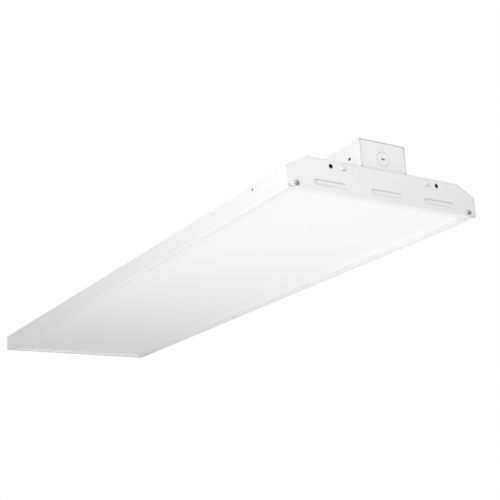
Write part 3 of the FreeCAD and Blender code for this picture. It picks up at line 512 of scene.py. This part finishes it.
def cut_with(shape, cutter):
    """Take the cutter's form out of the shape and delete the cutter."""
    select_only(shape)
    cutting = shape.modifiers.new("cut", "BOOLEAN")
    cutting.operation = "DIFFERENCE"
    cutting.solver = "EXACT"
    cutting.object = cutter
    bpy.ops.object.modifier_apply(modifier=cutting.name)
    bpy.data.objects.remove(cutter, do_unlink=True)


def raise_dome(screw, rim):
    """Draw the head's flat top in and up, ring by ring."""
    radius = HEAD_ACROSS / 2
    level = rim
    for rise, width in DOME_STEPS:
        top = level
        pick_faces(screw, lambda face: face.normal.z > LIES_FLAT
                   and face.center.z > top - SAME_LEVEL)
        narrower = HEAD_ACROSS / 2 * width
        bpy.ops.mesh.inset(thickness=radius - narrower)
        level = rim + (HEAD_HEIGHT - rim) * rise
        bpy.ops.transform.translate(value=(0, 0, level - top))
        bpy.ops.object.mode_set(mode="OBJECT")
        radius = narrower


def draw_shank(screw):
    """Draw the shank down out of the head's underside, with a narrower tip."""
    pick_faces(screw, lambda face: face.normal.z < -LIES_FLAT)
    bpy.ops.mesh.inset(thickness=(HEAD_ACROSS - SHANK_ACROSS) / 2)
    for share in (1 - TIP_SHARE, TIP_SHARE):
        down = {"value": (0, 0, -SHANK_LENGTH * share)}
        bpy.ops.mesh.extrude_region_move(TRANSFORM_OT_translate=down)
    bpy.ops.transform.resize(value=(TIP_WIDTH, TIP_WIDTH, 1))
    bpy.ops.object.mode_set(mode="OBJECT")


def model_screw():
    """One pan-head screw on the origin: head above, shank below, cross recess on top."""
    rim = HEAD_HEIGHT * RIM_SHARE
    screw = add_disc(HEAD_ACROSS, rim)
    raise_dome(screw, rim)
    draw_shank(screw)
    cut_middle = (0, 0, HEAD_HEIGHT - RECESS_CUT / 2 + RECESS_CUT_ABOVE)
    cut_with(screw, add_block((RECESS_REACH, RECESS_WIDTH, RECESS_CUT), cut_middle))
    cut_with(screw, add_block((RECESS_WIDTH, RECESS_REACH, RECESS_CUT), cut_middle))
    select_only(screw)
    bpy.ops.object.shade_smooth_by_angle(angle=SMOOTH_UP_TO)
    return screw


def seat_screws(pattern, name, node, seats, outward, material):
    """Copies of the screw at the seats, each with its own mesh, in place of the node."""
    facing = UP.rotation_difference(outward).to_matrix().to_4x4()
    for index, seat in enumerate(seats):
        mesh = pattern.data.copy()
        turn = Matrix.Rotation(math.radians(FIRST_TURN + NEXT_TURN * index), 4, "Z")
        mesh.transform(Matrix.Translation(seat) @ facing @ turn)
        screw = bpy.data.objects.new("%s_%d" % (name, index + 1), mesh)
        bpy.context.collection.objects.link(screw)
        mesh.materials.clear()
        mesh.materials.append(material)
        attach(screw, "root")
        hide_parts(node)


def pair_seats(node, outward):
    """Where a node's two heads rest on the sheet: one to the left and one to the right."""
    low, high = (Vector(corner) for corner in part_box(node))
    middle = (low + high) / 2
    reach = (high - low) / 2
    facing = next(axis for axis in range(3) if outward[axis])
    edge = high[facing] if outward[facing] > 0 else low[facing]
    seats = []
    for side in (-1, 1):
        seat = middle.copy()
        seat.y += side * (reach.y - HEAD_ACROSS / 2)
        seat[facing] = edge - outward[facing] * HEAD_HEIGHT
        seats.append(seat)
    return seats


def corner_seats(node):
    """Where a node's four heads rest on the sheet below them: one in each corner."""
    low, high = (Vector(corner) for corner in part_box(node))
    return [Vector((x, y, high.z - HEAD_HEIGHT))
            for x in (low.x + HEAD_ACROSS / 2, high.x - HEAD_ACROSS / 2)
            for y in (low.y + HEAD_ACROSS / 2, high.y - HEAD_ACROSS / 2)]


def dress_screws(material):
    """A modelled screw in place of each one that can be seen from outside."""
    pattern = model_screw()
    for end, outward in (("near", AHEAD), ("far", -AHEAD)):
        for kind, facing in (("plate_screw", outward), ("top_screw", UP)):
            node = "%ss_%s" % (kind, end)
            seat_screws(pattern, "%s_%s" % (kind, end), node, pair_seats(node, facing), facing,
                        material)
    seat_screws(pattern, "cover_screw", "cover_screws", corner_seats("cover_screws"), UP,
                material)
    bpy.data.objects.remove(pattern, do_unlink=True)


# ---- putting it together ------------------------------------------------------------------

BOARD_COUNT = 4


def finish_nodes():
    """Give every carried-over node its finish, and hand back the screws' plating."""
    enamel = make_enamel("white_enamel", ENAMEL_WHITE)
    pressed = make_enamel("pressed_white_enamel", ENAMEL_WHITE, softened=PRESSED_SOFTNESS)
    frosting = make_frosting()
    board = make_board_mask()
    phosphor = make_chip_phosphor()
    plating = make_plating("zinc_plating", ZINC_GREY, roughness=0.4)
    pale_sleeving = make_sleeving("pale_sleeving", SLEEVING_PALE)
    finishes = {
        "housing": enamel, "end_plate_near": pressed, "end_plate_far": pressed,
        "box_cover": enamel, "box_end_near": enamel, "box_end_far": enamel,
        "lens": frosting,
        "led_driver": make_extrusion(),
        "board_connectors": make_moulded("connector_plastic", CONNECTOR_IVORY,
                                         roughness=0.3, grain=900, bump=0.1),
        "terminal_block": make_moulded("block_plastic", BLOCK_IVORY,
                                       roughness=0.5, grain=1200, bump=0.3),
        "grommet": make_moulded("grommet_rubber", RUBBER_BLACK,
                                roughness=0.7, grain=1500, bump=0.4),
        "ground_screw": make_enamel("green_lacquer", LACQUER_GREEN, roughness=0.35),
        "input_leads": make_sleeving("black_sleeving", SLEEVING_BLACK),
        "output_leads": pale_sleeving, "link_leads": pale_sleeving,
    }
    for number in range(1, BOARD_COUNT + 1):
        finishes["led_board_%d" % number] = board
        finishes["led_chips_%d" % number] = phosphor
    for name, node in nodes.items():
        node.data.materials.clear()
        node.data.materials.append(finishes.get(name, plating))
    return plating


set_camera()
set_sky()
for lamp in LAMPS:
    add_lamp(*lamp)
make_sheet_tone()
make_pebble()
make_brushing()
make_settled_dust()
add_floor(make_studio_paper())
dress_screws(finish_nodes())
